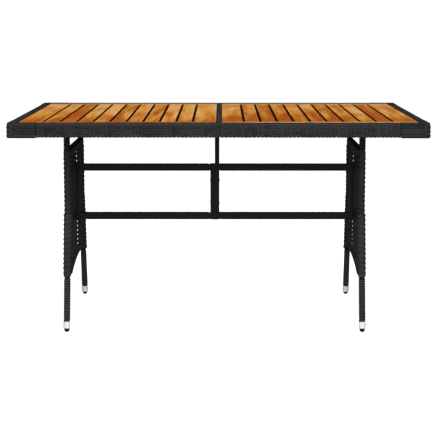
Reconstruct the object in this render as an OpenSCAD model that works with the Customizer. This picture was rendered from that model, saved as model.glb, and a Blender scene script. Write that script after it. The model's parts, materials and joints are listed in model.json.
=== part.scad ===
// Garden dining table: slatted hardwood top in a wicker-bound steel rim, on two woven end frames
// joined by stretchers. Millimetres. The origin is on the floor under the middle of the top,
// +X runs along the length, +Y to the back and +Z up.

/* [Table] */
// Length of the top over its corner wraps
top_len = 1400; // [1300:10:1500]
// Depth of the top over its corner wraps
top_depth = 800; // [760:10:900]
// Height of the rim's top above the floor
table_h = 750; // [740:5:760]

/* [Rim] */
// Height of the wicker rim
rim_h = 51; // [50:1:54]
// Width of the wicker rim seen from above
rim_w = 30; // [28:1:34]
// Thickness of the wicker over the rim tubes
wicker_t = 3; // [2:0.5:4]
// Length of a corner wrap along each side
corner_len = 97; // [80:1:120]
// How far a corner wrap stands proud of the bands
corner_proud = 1.5; // [0.5:0.5:2]
// Radius of the top's corners seen from above
corner_r = 10; // [6:1:14]
// Wall of every steel tube
tube_wall = 1.5; // [1:0.1:2]

/* [Centre bar] */
// Place of the centre bar along the length
centre_x = 2; // [-4:1:4]
// Width of the strip of wicker between the two panels
strip_w = 16; // [14:1:20]
// Width of the steel bar under the strip
centre_bar_w = 12; // [10:1:12]

/* [Panels] */
// Slats in each panel
slat_count = 11; // [11:1:11]
// Distance from the middle of the top to the middle of the first gap
first_gap = 86; // [84:0.5:88]
// Distance between the middles of neighbouring gaps
slat_pitch = 55.6; // [54:0.1:56]
// Width of the gap between two slats
slat_gap = 9; // [6:0.5:10]
// Thickness of the slats and end rails
slat_t = 18; // [16:1:20]
// How far the wood lies below the rim's top
wood_drop = 2; // [1:0.5:3]
// Clearance between the wood and the wicker round it
wood_clear = 2.5; // [1:0.5:4]
// Width of an end rail
end_rail_w = 31; // [28:1:40]
// Distance of a batten from the middle of the depth
batten_y = 90; // [60:5:120]
// Width of a batten
batten_w = 60; // [30:1:70]

/* [Underframe] */
// How far the underframe sits to the left of the top's middle
frame_shift = 14; // [0:1:20]
// Distance of each end frame from the middle of the underframe
end_x = 517; // [480:1:540]
// Distance of the upper legs from the middle of the depth
leg_y = 187; // [160:1:200]
// Distance of the feet from the middle of the depth
foot_y = 260; // [240:1:280]
// Height at which the legs bend outwards
bend_z = 430; // [400:5:460]
// Radius of a leg tube
leg_r = 9.5; // [9:0.1:10]
// Height of the upper stretchers' middle
upper_z = 546; // [530:1:560]
// Height of the lower stretchers' middle
lower_z = 365; // [350:1:380]
// Width of a stretcher over its winding
stretcher_w = 26; // [24:1:28]
// Width of a centre post along the length
post_w = 16.6; // [14:0.1:20]
// Depth of a centre post
post_d = 22; // [20:1:24]
// Heights of the two bolts through the centre posts
bolt_heights = [413, 498];

/* [End frames] */
// Height of the top rail's underside
top_rail_z = 606; // [600:1:620]
// Width of the top rail
top_rail_w = 24; // [20:1:26]
// Height of the bottom rail at the legs
arch_z = 198; // [190:1:210]
// Rise of the bottom rail at its middle
arch_rise = 37; // [20:1:40]
// Thickness of the woven panel
weave_t = 7; // [6:0.5:9]
// How far the woven panel lies inside the legs' axes
panel_inset = 8.5; // [6:0.5:9]
// Radius of the wicker round a leg beside the panel
weave_leg_r = 12.5; // [12:0.5:13]
// Distance between the strands that cross the open slots
row_pitch = 16.6; // [14:0.1:20]
// Width of the open slots at the middle of the panel
slot_w = 52; // [40:1:60]

/* [Feet] */
// Bottom of the bright sleeve above the floor
sleeve_low_z = 13.5; // [10:0.5:16]
// Top of the bright sleeve above the floor
sleeve_top_z = 36; // [30:1:45]
// Radius of the bright sleeve
sleeve_r = 12; // [11:0.1:13]
// Radius of the winding round a leg
winding_r = 11.8; // [11:0.1:12.5]

/* [Hidden] */
$fn = 48;
SIDES = [-1, 1];

half_len = top_len / 2;
half_depth = top_depth / 2;

// Rim, from the outside in
steel_inset = corner_proud + wicker_t;
steel_w = rim_w - steel_inset - wicker_t;
steel_h = rim_h - steel_inset - wicker_t;
steel_z = table_h - rim_h + steel_inset;
steel_in_x = half_len - steel_inset - steel_w;
steel_in_y = half_depth - steel_inset - steel_w;
lip_h = 22;

// Panels
wood_top = table_h - wood_drop;
wood_z = wood_top - slat_t;
panel_out_x = half_len - rim_w - wood_clear;
panel_out_y = half_depth - rim_w - wood_clear;
strip_clear = 2;
panel_in_left = centre_x - strip_w / 2 - strip_clear;
panel_in_right = centre_x + strip_w / 2 + strip_clear;
slat_y = panel_out_y - end_rail_w;
leg_rail_h = 14;
leg_rail_w = 30;
leg_rail_z = steel_z;
batten_z = leg_rail_z + leg_rail_h;
batten_t = wood_z - batten_z;
batten_inset = 25;
ledge_t = 3;
ledge_w = 28;
ledge_gap = 5;
centre_ledge_w = 26;
centre_bar_lift = 8;
centre_bar_z = steel_z + centre_bar_lift;
centre_bar_drop = 4;
centre_bar_top = table_h - centre_bar_drop;
screw_r = 1.75;
screw_depth = 10;
screw_head_r = 3.5;
screw_head_t = 1.5;

// Underframe
end_xs = [-frame_shift - end_x, -frame_shift + end_x];
dome_r = leg_r;
splay = atan((foot_y - leg_y) / (bend_z - dome_r));
bend_swell = 0.4;
plug_h = 30;
winding_t = 2;
tube_w = stretcher_w - 2 * winding_t;
bolt_r = 3;
bolt_head_r = 5;
bolt_head_t = 2;
leg_bolt_len = 34;
end_post_w = 22;
cross_bar_t = 4;
cross_bar_h = 20;
upper_winding_h = leg_rail_z - top_rail_z - top_rail_w - 2;
bottom_rail_r = 5;
border_r = 9;
arch_y = leg_y + (bend_z - arch_z) * tan(splay);
arch_r = (arch_y * arch_y + arch_rise * arch_rise) / (2 * arch_rise);
arch_angle = 2 * asin(arch_y / arch_r);
post_bottom = lower_z - stretcher_w / 2;
post_top = upper_z + stretcher_w / 2;

STEEL = "#1b1c1e";
WICKER = "#2e3033";
WOOD = "#c08a4a";
WOOD_RED = "#b5773c";
SILVER = "#d9dadc";
RUBBER = "#101010";

// ---- Shared shapes ----

// A box given by its lowest and highest corners
module span(low, high) {
    translate(low) cube(high - low);
}

// A square-cornered tube along X between two places
module tube_x(x0, x1, y0, y1, z0, z1) {
    difference() {
        span([x0, y0, z0], [x1, y1, z1]);
        span([x0 - 1, y0 + tube_wall, z0 + tube_wall], [x1 + 1, y1 - tube_wall, z1 - tube_wall]);
    }
}

// The same along Y
module tube_y(x0, x1, y0, y1, z0, z1) {
    difference() {
        span([x0, y0, z0], [x1, y1, z1]);
        span([x0 + tube_wall, y0 - 1, z0 + tube_wall], [x1 - tube_wall, y1 + 1, z1 - tube_wall]);
    }
}

// The same along Z
module tube_z(x0, x1, y0, y1, z0, z1) {
    difference() {
        span([x0, y0, z0], [x1, y1, z1]);
        span([x0 + tube_wall, y0 + tube_wall, z0 - 1], [x1 - tube_wall, y1 - tube_wall, z1 + 1]);
    }
}

// Puts a shape that is drawn for the back of the table at its front or back
module at_side(side) {
    mirror([0, side < 0 ? 1 : 0, 0]) children();
}

// Puts a shape that is drawn for the right end at the left or right end
module at_end(side) {
    mirror([side < 0 ? 1 : 0, 0, 0]) children();
}

// ---- Wooden panels ----

// Edges of slat i along the length, counted from the middle of the top, on the right-hand side
function slat_from(i, inner) = i == 1 ? inner : first_gap + (i - 2) * slat_pitch + slat_gap / 2;
function slat_to(i) = i == slat_count ? panel_out_x : first_gap + (i - 1) * slat_pitch - slat_gap / 2;
function slat_mid(i, inner) = (slat_from(i, inner) + slat_to(i)) / 2;
function panel_inner(side) = side < 0 ? -panel_in_left : panel_in_right;

module screw_holes(side, i) {
    for (y = [-batten_y, batten_y])
        translate([slat_mid(i, panel_inner(side)), y, wood_z - batten_t - 1])
            cylinder(r = screw_r, h = batten_t + screw_depth + 1);
}

module slat(side, i) {
    color(i % 2 == 0 ? WOOD : WOOD_RED)
        at_end(side)
            difference() {
                span([slat_from(i, panel_inner(side)), -slat_y, wood_z],
                     [slat_to(i), slat_y, wood_top]);
                screw_holes(side, i);
            }
}

module end_rail(side, end_side) {
    color(WOOD)
        at_end(end_side)
            at_side(side)
                span([panel_inner(end_side), slat_y, wood_z], [panel_out_x, panel_out_y, wood_top]);
}

module battens() {
    color(WOOD)
        for (side = SIDES)
            at_end(side)
                difference() {
                    for (y = [-batten_y, batten_y])
                        span([panel_inner(side) + batten_inset, y - batten_w / 2, batten_z],
                             [panel_out_x - batten_inset, y + batten_w / 2, wood_z]);
                    for (i = [1 : slat_count])
                        screw_holes(side, i);
                }
}

module batten_screws() {
    color(SILVER)
        for (side = SIDES, i = [1 : slat_count], y = [-batten_y, batten_y])
            at_end(side)
                translate([slat_mid(i, panel_inner(side)), y, batten_z]) {
                    cylinder(r = screw_r, h = batten_t + screw_depth);
                    translate([0, 0, -screw_head_t])
                        cylinder(r = screw_head_r, h = screw_head_t);
                }
}

// ---- Steel of the top ----

module rim_tube_long(side) {
    color(STEEL)
        at_side(side)
            tube_x(-half_len + steel_inset, half_len - steel_inset,
                   steel_in_y, steel_in_y + steel_w, steel_z, steel_z + steel_h);
}

module rim_tube_short(side) {
    color(STEEL)
        at_end(side)
            tube_y(steel_in_x, steel_in_x + steel_w, -steel_in_y, steel_in_y,
                   steel_z, steel_z + steel_h);
}

module centre_bar() {
    color(STEEL)
        tube_y(centre_x - centre_bar_w / 2, centre_x + centre_bar_w / 2,
               -steel_in_y, steel_in_y, centre_bar_z, centre_bar_top);
}

module leg_rails() {
    color(STEEL)
        for (x = end_xs)
            difference() {
                tube_y(x - leg_rail_w / 2, x + leg_rail_w / 2, -steel_in_y, steel_in_y,
                       leg_rail_z, leg_rail_z + leg_rail_h);
                for (y = [-leg_y, leg_y])
                    translate([x, y, leg_rail_z - 1])
                        cylinder(r = bolt_r, h = leg_rail_h + 2);
            }
}

// Flat bars that carry the end rails and the panels' inner edges
module panel_ledges() {
    centre_run = steel_in_y - ledge_w - ledge_gap;
    color(STEEL)
        for (end_side = SIDES)
            at_end(end_side) {
                bar_side = end_side * centre_x + centre_bar_w / 2;
                for (side = SIDES)
                    at_side(side)
                        span([panel_inner(end_side), steel_in_y - ledge_w, wood_z - ledge_t],
                             [steel_in_x, steel_in_y, wood_z]);
                span([bar_side, -centre_run, wood_z - ledge_t],
                     [bar_side + centre_ledge_w, centre_run, wood_z]);
            }
}

// ---- Wicker of the top ----

// Wicker over a rim tube at the back: over the top, the outer face and the underside, with a lip
// inside that hides the edge of the wood
module rim_wicker_long(side) {
    color(WICKER)
        at_side(side)
            difference() {
                span([-half_len + corner_len, half_depth - rim_w, steel_z - wicker_t],
                     [half_len - corner_len, half_depth - corner_proud, table_h]);
                span([-half_len, steel_in_y, steel_z],
                     [half_len, steel_in_y + steel_w, steel_z + steel_h]);
                span([-half_len, steel_in_y - rim_w, 0], [half_len, steel_in_y, table_h - lip_h]);
                span([centre_x - centre_bar_w / 2, steel_in_y - rim_w, 0],
                     [centre_x + centre_bar_w / 2, steel_in_y, centre_bar_top]);
            }
}

module rim_wicker_short(side) {
    color(WICKER)
        at_end(side)
            difference() {
                span([half_len - rim_w, -half_depth + corner_len, steel_z - wicker_t],
                     [half_len - corner_proud, half_depth - corner_len, table_h]);
                span([steel_in_x, -half_depth, steel_z],
                     [steel_in_x + steel_w, half_depth, steel_z + steel_h]);
                span([steel_in_x - rim_w, -half_depth, 0],
                     [steel_in_x, half_depth, table_h - lip_h]);
            }
}

// Outline of a corner wrap, seen from above, for the back right corner
module corner_outline() {
    difference() {
        union() {
            translate([half_len - corner_len, half_depth - corner_len])
                square([corner_len - corner_r, corner_len]);
            translate([half_len - corner_len, half_depth - corner_len])
                square([corner_len, corner_len - corner_r]);
            translate([half_len - corner_r, half_depth - corner_r])
                circle(r = corner_r);
        }
        square([half_len - rim_w, half_depth - rim_w]);
    }
}

module corner_wicker() {
    color(WICKER)
        for (side = SIDES, end_side = SIDES)
            at_side(side)
                at_end(end_side)
                    difference() {
                        translate([0, 0, table_h - rim_h])
                            linear_extrude(rim_h) corner_outline();
                        span([0, steel_in_y, steel_z],
                             [steel_in_x + steel_w, steel_in_y + steel_w, steel_z + steel_h]);
                        span([steel_in_x, 0, steel_z],
                             [steel_in_x + steel_w, steel_in_y + steel_w, steel_z + steel_h]);
                        span([0, 0, 0], [steel_in_x, steel_in_y, table_h - lip_h]);
                    }
}

module centre_wicker() {
    color(WICKER)
        difference() {
            span([centre_x - strip_w / 2, -half_depth + rim_w, wood_z],
                 [centre_x + strip_w / 2, half_depth - rim_w, table_h - 1]);
            span([centre_x - centre_bar_w / 2, -half_depth, centre_bar_z],
                 [centre_x + centre_bar_w / 2, half_depth, centre_bar_top]);
        }
}

// ---- Legs and feet ----

// Puts a shape at the end of the leg's axis: its origin is the middle of the foot's dome and its
// +Z runs up the splayed leg
module on_foot(x, side) {
    translate([x, 0, 0])
        at_side(side)
            translate([0, foot_y, dome_r])
                rotate([splay, 0, 0])
                    children();
}

// A bar of radius r along a back leg's axis, from the height z0 to the height z1, with a ball that
// is a little larger than the bar at the bend
module leg_bar(r, z0, z1) {
    lower_run = (bend_z - z0) / cos(splay);
    translate([0, leg_y, bend_z]) {
        cylinder(r = r, h = z1 - bend_z);
        sphere(r = r + bend_swell);
        rotate([splay, 0, 0])
            translate([0, 0, -lower_run])
                cylinder(r = r, h = lower_run);
    }
}

module leg_bars(r, z0, z1) {
    for (side = SIDES)
        at_side(side) leg_bar(r, z0, z1);
}

// A bent tube whose upper end is closed by a plug with the bolt's hole
module leg(x, side) {
    color(STEEL)
        translate([x, 0, 0])
            at_side(side)
                difference() {
                    leg_bar(leg_r, dome_r, leg_rail_z);
                    leg_bar(leg_r - tube_wall, 0, leg_rail_z - plug_h);
                    translate([0, leg_y, leg_rail_z - plug_h - 1])
                        cylinder(r = bolt_r, h = plug_h + 2);
                }
}

// A ring round the splayed leg between two heights
module leg_ring(x, side, r, z0, z1) {
    on_foot(x, side)
        translate([0, 0, (z0 - dome_r) / cos(splay)])
            difference() {
                cylinder(r = r, h = (z1 - z0) / cos(splay));
                translate([0, 0, -1])
                    cylinder(r = leg_r, h = (z1 - z0) / cos(splay) + 2);
            }
}

module foot_sleeves() {
    color(SILVER)
        for (x = end_xs, side = SIDES)
            leg_ring(x, side, sleeve_r, sleeve_low_z, sleeve_top_z);
}

// Windings above and below each woven panel
module leg_windings() {
    color(WICKER)
        for (x = end_xs, side = SIDES) {
            leg_ring(x, side, winding_r, sleeve_top_z, arch_z - border_r);
            translate([x, side * leg_y, top_rail_z + top_rail_w])
                difference() {
                    cylinder(r = winding_r, h = upper_winding_h);
                    translate([0, 0, -1]) cylinder(r = leg_r, h = upper_winding_h + 2);
                }
        }
}

// Rubber domes with a stem that plugs the leg tube
module glides() {
    stem_h = 15;
    color(RUBBER)
        for (x = end_xs, side = SIDES)
            on_foot(x, side) {
                difference() {
                    sphere(r = dome_r);
                    cylinder(r = 2 * dome_r, h = 2 * dome_r);
                }
                cylinder(r = leg_r - tube_wall, h = stem_h);
            }
}

// ---- End frames ----

// Puts an end frame that is drawn about the legs' axes at the right end into its place
module at_end_frame(side) {
    translate([-frame_shift, 0, 0])
        at_end(side)
            translate([end_x, 0, 0]) children();
}

// The arched bottom rail as a bar of radius r
module arch_bar(r) {
    translate([-panel_inset, 0, arch_z + arch_rise - arch_r])
        rotate([0, 90, 0])
            rotate([0, 0, 180 - arch_angle / 2])
                rotate_extrude(angle = arch_angle)
                    translate([arch_r, 0]) circle(r = r);
}

module top_rail_outline() {
    span([-top_rail_w / 2, -leg_y, top_rail_z], [top_rail_w / 2, leg_y, top_rail_z + top_rail_w]);
}

// Flat bars inside the weave, from the legs to the end post
module cross_bars() {
    for (z = [upper_z, lower_z], side = SIDES)
        at_side(side)
            span([-panel_inset - cross_bar_t / 2, end_post_w / 2, z - cross_bar_h / 2],
                 [-panel_inset + cross_bar_t / 2, panel_y(z), z + cross_bar_h / 2]);
}

// Top rail, end post, flat cross bars and arched bottom rail, welded between the two legs
module end_frame(side) {
    color(STEEL)
        at_end_frame(side) {
            difference() {
                union() {
                    tube_y(-top_rail_w / 2, top_rail_w / 2, -leg_y, leg_y,
                           top_rail_z, top_rail_z + top_rail_w);
                    cross_bars();
                    arch_bar(bottom_rail_r);
                }
                leg_bars(leg_r, 0, table_h);
            }
            tube_z(-panel_inset - end_post_w / 2, -panel_inset + end_post_w / 2,
                   -end_post_w / 2, end_post_w / 2, post_bottom, post_top);
        }
}

// Half the width of the end panel at a height
function panel_y(z) = leg_y + max(0, bend_z - z) * tan(splay);
function arch_at(y) = arch_z + arch_rise - arch_r + sqrt(arch_r * arch_r - y * y);

module slot_window(z, h) {
    span([-panel_inset - weave_t, -slot_w / 2, z], [-panel_inset + weave_t, slot_w / 2, z + h]);
}

module panel_outline() {
    steps = 16;
    polygon([
        for (k = [0 : steps]) let (y = -arch_y + 2 * arch_y * k / steps) [y, arch_at(y)],
        [panel_y(bend_z), bend_z],
        [leg_y, top_rail_z],
        [-leg_y, top_rail_z],
        [-panel_y(bend_z), bend_z]
    ]);
}

// Windows of the open slots, one between each pair of strands: from the top rail down to the end
// post, and from the end post down to the bottom rail
module slot_windows() {
    window_h = row_pitch / 2;
    above = round((top_rail_z - post_top) / row_pitch);
    below = floor((post_bottom - arch_z - arch_rise - border_r) / row_pitch);
    for (k = [0 : above - 1])
        slot_window(top_rail_z - window_h - k * row_pitch, window_h + (k == 0 ? 1 : 0));
    for (k = [0 : below - 1])
        slot_window(post_bottom - window_h * 3 / 2 - k * row_pitch, window_h);
}

// Woven panel with the wicker that wraps both legs and the bottom rail
module end_weave(side) {
    color(WICKER)
        at_end_frame(side)
            difference() {
                union() {
                    translate([-panel_inset - weave_t / 2, 0, 0])
                        rotate([90, 0, 90])
                            linear_extrude(weave_t) panel_outline();
                    leg_bars(weave_leg_r, arch_z - border_r, top_rail_z + top_rail_w);
                    arch_bar(border_r);
                }
                leg_bars(leg_r, 0, table_h);
                arch_bar(bottom_rail_r);
                cross_bars();
                top_rail_outline();
                span([-panel_inset - end_post_w / 2, -end_post_w / 2, post_bottom],
                     [-panel_inset + end_post_w / 2, end_post_w / 2, post_top]);
                slot_windows();
            }
}

// ---- Stretchers and centre posts ----

// Ends of a stretcher along the length, at the left or right of the posts
function stretcher_span(side) = side < 0
    ? [end_xs[0] + panel_inset + end_post_w / 2, -frame_shift - post_w]
    : [-frame_shift + post_w, end_xs[1] - panel_inset - end_post_w / 2];

module stretcher(side, z) {
    ends = stretcher_span(side);
    color(STEEL)
        tube_x(ends[0], ends[1], -tube_w / 2, tube_w / 2, z - tube_w / 2, z + tube_w / 2);
}

module stretcher_windings() {
    color(WICKER)
        for (side = SIDES, z = [upper_z, lower_z])
            let (ends = stretcher_span(side))
                difference() {
                    span([ends[0], -stretcher_w / 2, z - stretcher_w / 2],
                         [ends[1], stretcher_w / 2, z + stretcher_w / 2]);
                    span([ends[0] - 1, -tube_w / 2, z - tube_w / 2],
                         [ends[1] + 1, tube_w / 2, z + tube_w / 2]);
                }
}

module centre_post(side) {
    x0 = side < 0 ? -frame_shift - post_w : -frame_shift;
    top = side < 0 ? post_top : centre_bar_z;
    color(STEEL)
        difference() {
            tube_z(x0, x0 + post_w, -post_d / 2, post_d / 2, post_bottom, top);
            for (z = bolt_heights)
                translate([x0 - 1, 0, z])
                    rotate([0, 90, 0])
                        cylinder(r = bolt_r, h = post_w + 2);
        }
}

// Two bolts with nuts through the centre posts, and one bolt down into each leg
module frame_bolts() {
    color(SILVER) {
        for (z = bolt_heights)
            translate([-frame_shift - post_w, 0, z])
                rotate([0, 90, 0]) {
                    cylinder(r = bolt_r, h = 2 * post_w);
                    translate([0, 0, -bolt_head_t])
                        cylinder(r = bolt_head_r, h = bolt_head_t);
                    translate([0, 0, 2 * post_w])
                        cylinder(r = bolt_head_r, h = bolt_head_t, $fn = 6);
                }
        for (x = end_xs, y = [-leg_y, leg_y])
            translate([x, y, leg_rail_z + leg_rail_h]) {
                cylinder(r = bolt_head_r, h = 2 * bolt_head_t, $fn = 6);
                translate([0, 0, -leg_bolt_len])
                    cylinder(r = bolt_r, h = leg_bolt_len);
            }
    }
}

slat(-1, 1);  // slat_left_01
slat(-1, 2);  // slat_left_02
slat(-1, 3);  // slat_left_03
slat(-1, 4);  // slat_left_04
slat(-1, 5);  // slat_left_05
slat(-1, 6);  // slat_left_06
slat(-1, 7);  // slat_left_07
slat(-1, 8);  // slat_left_08
slat(-1, 9);  // slat_left_09
slat(-1, 10);  // slat_left_10
slat(-1, 11);  // slat_left_11
slat(1, 1);  // slat_right_01
slat(1, 2);  // slat_right_02
slat(1, 3);  // slat_right_03
slat(1, 4);  // slat_right_04
slat(1, 5);  // slat_right_05
slat(1, 6);  // slat_right_06
slat(1, 7);  // slat_right_07
slat(1, 8);  // slat_right_08
slat(1, 9);  // slat_right_09
slat(1, 10);  // slat_right_10
slat(1, 11);  // slat_right_11
end_rail(-1, -1);  // end_rail_front_left
end_rail(-1, 1);  // end_rail_front_right
end_rail(1, -1);  // end_rail_back_left
end_rail(1, 1);  // end_rail_back_right
battens();
batten_screws();
rim_tube_long(-1);  // rim_tube_front
rim_tube_long(1);  // rim_tube_back
rim_tube_short(-1);  // rim_tube_left
rim_tube_short(1);  // rim_tube_right
centre_bar();
leg_rails();
panel_ledges();
rim_wicker_long(-1);  // rim_wicker_front
rim_wicker_long(1);  // rim_wicker_back
rim_wicker_short(-1);  // rim_wicker_left
rim_wicker_short(1);  // rim_wicker_right
corner_wicker();
centre_wicker();
leg(end_xs[0], -1);  // leg_front_left
leg(end_xs[0], 1);  // leg_back_left
leg(end_xs[1], -1);  // leg_front_right
leg(end_xs[1], 1);  // leg_back_right
leg_windings();
end_frame(-1);  // end_frame_left
end_frame(1);  // end_frame_right
end_weave(-1);  // end_weave_left
end_weave(1);  // end_weave_right
stretcher(-1, upper_z);  // stretcher_upper_left
stretcher(-1, lower_z);  // stretcher_lower_left
stretcher(1, upper_z);  // stretcher_upper_right
stretcher(1, lower_z);  // stretcher_lower_right
stretcher_windings();
centre_post(-1);  // centre_post_left
centre_post(1);  // centre_post_right
frame_bolts();
foot_sleeves();
glides();
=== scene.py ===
"""Looks of a slatted garden table with a woven rim and woven end frames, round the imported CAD."""
import json
import math
import random

import bpy
import numpy as np
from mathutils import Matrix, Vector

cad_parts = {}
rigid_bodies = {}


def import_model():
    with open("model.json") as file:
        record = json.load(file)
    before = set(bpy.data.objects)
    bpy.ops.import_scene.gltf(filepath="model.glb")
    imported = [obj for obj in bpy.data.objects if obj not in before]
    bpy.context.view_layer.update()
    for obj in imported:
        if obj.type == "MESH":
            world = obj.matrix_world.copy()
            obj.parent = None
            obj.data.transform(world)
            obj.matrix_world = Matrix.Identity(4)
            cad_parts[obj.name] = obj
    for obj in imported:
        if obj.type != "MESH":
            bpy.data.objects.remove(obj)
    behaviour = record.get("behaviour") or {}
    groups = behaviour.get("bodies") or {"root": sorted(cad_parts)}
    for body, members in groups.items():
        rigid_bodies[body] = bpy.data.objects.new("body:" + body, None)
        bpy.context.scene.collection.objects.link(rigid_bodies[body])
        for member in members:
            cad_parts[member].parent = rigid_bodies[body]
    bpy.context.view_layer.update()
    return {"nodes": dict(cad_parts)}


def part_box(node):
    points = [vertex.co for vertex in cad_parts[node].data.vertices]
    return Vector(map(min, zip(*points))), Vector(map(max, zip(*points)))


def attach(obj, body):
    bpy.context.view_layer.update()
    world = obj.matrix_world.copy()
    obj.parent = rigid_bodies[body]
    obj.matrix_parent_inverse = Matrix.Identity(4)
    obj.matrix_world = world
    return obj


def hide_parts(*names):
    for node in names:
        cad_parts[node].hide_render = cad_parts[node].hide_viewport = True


for old in list(bpy.data.objects):
    bpy.data.objects.remove(old, do_unlink=True)
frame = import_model()
NODES = frame["nodes"]
MM = 0.001

# ---- Places taken from the CAD nodes, in millimetres ----


def node_box(name):
    """Lowest and highest corner of a CAD node."""
    low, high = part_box(name)
    return [v / MM for v in low], [v / MM for v in high]


corner_low, corner_high = node_box("corner_wicker")
tube_low, tube_high = node_box("rim_tube_back")
strip_low, strip_high = node_box("centre_wicker")
post_low, post_high = node_box("centre_post_left")
HALF_LEN, HALF_DEPTH, TOP_Z = corner_high
UNDER_Z = corner_low[2]
BAND_HALF = node_box("rim_wicker_back")[1][0]
SIDE_HALF = node_box("rim_wicker_right")[1][1]
TUBE_Z = (tube_low[2], tube_high[2])
TUBE_OUT = HALF_DEPTH - tube_high[1]
TUBE_IN = HALF_DEPTH - tube_low[1]
END_XS = [(low[0] + high[0]) / 2 for low, high in
          (node_box("leg_front_left"), node_box("leg_front_right"))]
PANEL_TOP = node_box("end_frame_right")[1][2]
TOP_RAIL_H = 24.0
TOP_RAIL_Z = PANEL_TOP - TOP_RAIL_H
WINDING_R = node_box("leg_windings")[1][0] - END_XS[1]

# ---- Materials ----


class Nodes:
    """A short way to build a material's nodes."""

    def __init__(self, name):
        self.material = bpy.data.materials.new(name)
        self.material.use_nodes = True
        self.tree = self.material.node_tree
        self.shader = self.tree.nodes["Principled BSDF"]
        self.place = self.add("ShaderNodeTexCoord").outputs["Object"]

    def add(self, kind, **settings):
        node = self.tree.nodes.new(kind)
        for key, value in settings.items():
            if hasattr(node, key):
                setattr(node, key, value)
            else:
                node.inputs[key].default_value = value
        return node

    def link(self, source, node, socket):
        self.tree.links.new(source, node.inputs[socket])

    def feed(self, value, node, socket):
        """Links a node's output to a socket, or gives the socket a number or a colour."""
        if isinstance(value, bpy.types.NodeSocket):
            self.link(value, node, socket)
        elif isinstance(value, tuple):
            node.inputs[socket].default_value = (*value, 1.0)
        else:
            node.inputs[socket].default_value = value

    def scaled(self, source, scale):
        node = self.add("ShaderNodeMapping", Scale=scale)
        self.link(source, node, "Vector")
        return node.outputs["Vector"]

    def noise(self, vector, scale, detail=4.0, rough=0.5, distort=0.0):
        node = self.add("ShaderNodeTexNoise", Scale=scale, Detail=detail, Roughness=rough,
                        Distortion=distort)
        self.link(vector, node, "Vector")
        return node.outputs["Fac"]

    def attribute(self, name):
        return self.add("ShaderNodeAttribute", attribute_name=name).outputs["Fac"]

    def split(self, vector):
        node = self.add("ShaderNodeSeparateXYZ")
        self.link(vector, node, 0)
        return node.outputs

    def math(self, kind, *values):
        node = self.add("ShaderNodeMath", operation=kind)
        for index, value in enumerate(values):
            self.feed(value, node, index)
        return node.outputs[0]

    def blend(self, a, share_a, b, share_b):
        """Weighted sum of two values."""
        return self.math("ADD", self.math("MULTIPLY", a, share_a),
                         self.math("MULTIPLY", b, share_b))

    def spread(self, value, low, high, to_low=0.0, to_high=1.0):
        node = self.add("ShaderNodeMapRange")
        node.inputs["From Min"].default_value = low
        node.inputs["From Max"].default_value = high
        node.inputs["To Min"].default_value = to_low
        node.inputs["To Max"].default_value = to_high
        self.link(value, node, "Value")
        return node.outputs["Result"]

    def ramp(self, value, stops):
        node = self.add("ShaderNodeValToRGB")
        points = node.color_ramp.elements
        while len(points) < len(stops):
            points.new(1.0)
        for point, (place, colour) in zip(points, stops):
            point.position = place
            point.color = (*colour, 1.0)
        self.link(value, node, "Fac")
        return node.outputs["Color"]

    def mix(self, factor, a, b):
        node = self.add("ShaderNodeMix", data_type="RGBA")
        # Sockets 6 and 7 are the two colours and output 2 is the mixed one
        for index, value in ((0, factor), (6, a), (7, b)):
            self.feed(value, node, index)
        return node.outputs[2]

    def bump(self, height, strength, distance):
        node = self.add("ShaderNodeBump", Strength=strength, Distance=distance)
        self.link(height, node, "Height")
        self.link(node.outputs["Normal"], self.shader, "Normal")

    def set(self, **values):
        for key, value in values.items():
            self.shader.inputs[key.replace("_", " ")].default_value = value


def wicker_material(name, dark, light, shade, edge=0.35, sharp=4.0):
    """Flat plastic strand with fine ribs along it and a tone that changes from strand to strand.

    The strand's edges turn to the shade colour, a painted shade for the grooves between strands:
    edge says how much, sharp how close to the edge. On the end frames the tone also carries painted
    light and shade.
    """
    m = Nodes(name)
    across = m.attribute("across")
    value = m.blend(m.attribute("tone"), 0.62, m.noise(m.place, 14.0, 3.0), 0.38)
    body = m.ramp(value, [(0.22, dark), (0.78, light)])
    # Painted shade: the colour darkens towards each strand's edges, as in the grooves between
    # strands
    near_edge = m.math("POWER", m.math("ABSOLUTE", across), sharp)
    m.link(m.mix(m.math("MULTIPLY", near_edge, edge), body, shade), m.shader, "Base Color")
    ribs = m.math("SINE", m.math("MULTIPLY", across, 19.0))
    m.bump(m.blend(ribs, 0.5, m.noise(m.place, 900.0, 2.0), 0.35), 0.35, 0.0003)
    m.link(m.spread(m.noise(m.place, 60.0, 3.0), 0.3, 0.7, 0.48, 0.62), m.shader, "Roughness")
    m.set(Specular_IOR_Level=0.05)
    return m.material


def simple_material(name, colour, rough, metallic=0.0, grain=200.0, depth=0.0002, vary=0.12,
                    gloss=0.25):
    """Plain finish with soft patches, uneven roughness and a fine grain."""
    m = Nodes(name)
    darker = tuple(c * (1 - vary * 2) for c in colour)
    lighter = tuple(min(1.0, c * (1 + vary * 2)) for c in colour)
    m.link(m.ramp(m.noise(m.place, 35.0, 4.0), [(0.3, darker), (0.7, lighter)]),
           m.shader, "Base Color")
    m.link(m.spread(m.noise(m.place, 90.0, 3.0), 0.3, 0.7, rough - 0.08, rough + 0.08),
           m.shader, "Roughness")
    m.bump(m.noise(m.place, grain, 3.0), 0.3, depth)
    m.set(Metallic=metallic, Specular_IOR_Level=gloss)
    return m.material


# Acacia from the red heart to the pale sapwood, as linear colours
WOOD_RED = (0.330, 0.070, 0.008)
WOOD_ORANGE = (0.450, 0.150, 0.013)
WOOD_GOLD = (0.575, 0.248, 0.042)
WOOD_PALE = (0.670, 0.358, 0.115)
WOOD_DARK = (0.100, 0.028, 0.006)
# Dark oil on the sawn edges in the gaps, and mostly the painted shade of the gaps
OIL_AND_GAP_SHADE = (0.006, 0.004, 0.003)
# The boards are painted paler towards the back, a painted sheen of grazing reflection; this is half
# the depth over which they change
LIFT_HALF = 0.36


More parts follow.
